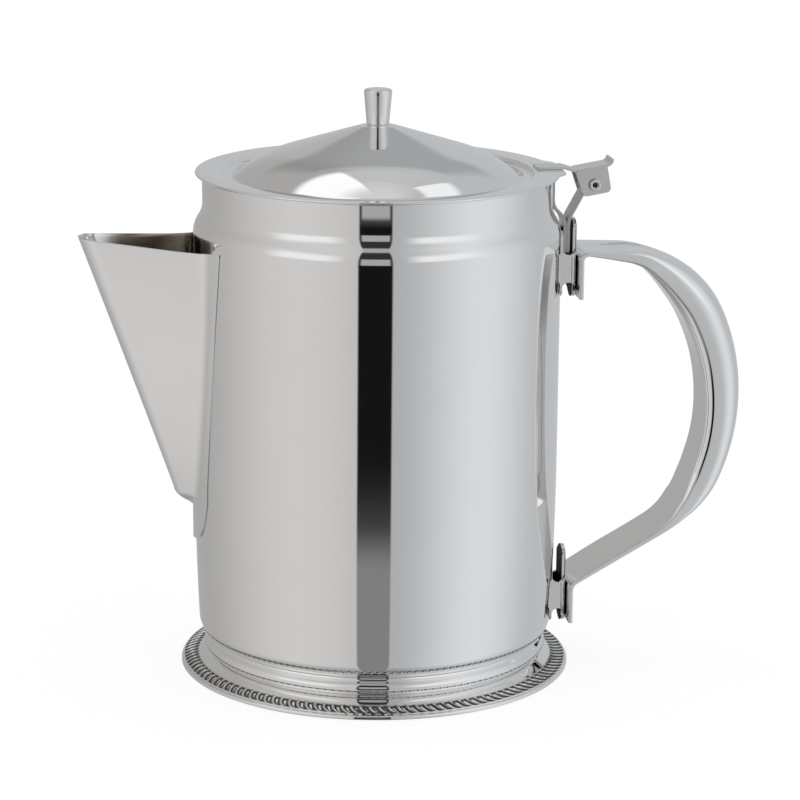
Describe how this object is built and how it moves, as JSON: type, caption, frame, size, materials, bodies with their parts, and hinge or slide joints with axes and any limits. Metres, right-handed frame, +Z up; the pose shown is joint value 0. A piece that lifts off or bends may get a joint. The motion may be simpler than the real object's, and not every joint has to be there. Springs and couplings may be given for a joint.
{
  "type": "coffee pot",
  "caption": "Polished steel coffee pot: round body, V spout, formed channel handle on brackets, gadroon foot and a hinged coned lid with a thumb plate and knob.",
  "frame": {"origin": "middle of the foot on the table", "axes": "+Z up, +X towards the handle and hinge, -X towards the spout"},
  "size_m": [0.2327, 0.137, 0.2035],
  "materials": {
    "polished_steel": "mirror polish",
    "satin_steel": "fine satin"
  },
  "bodies": {
    "pot": {"pot_body": "polished_steel", "base": "polished_steel", "spout": "polished_steel", "handle": "polished_steel", "upper_bracket": "satin_steel", "lower_bracket": "satin_steel", "rim_brace": "satin_steel", "hinge_arm": "satin_steel"},
    "lid": {"lid": "polished_steel", "hinge_leaf": "satin_steel", "lid_knob": "satin_steel", "knob_screw": "satin_steel", "hinge_pin": "satin_steel"}
  },
  "joints": [
    {"name": "lid_hinge", "type": "hinge", "parent": "pot", "child": "lid", "pos_m": [0.0752, 0, 0.1698], "axis": [0, 1, 0], "range_deg": [0, 100]}
  ]
}
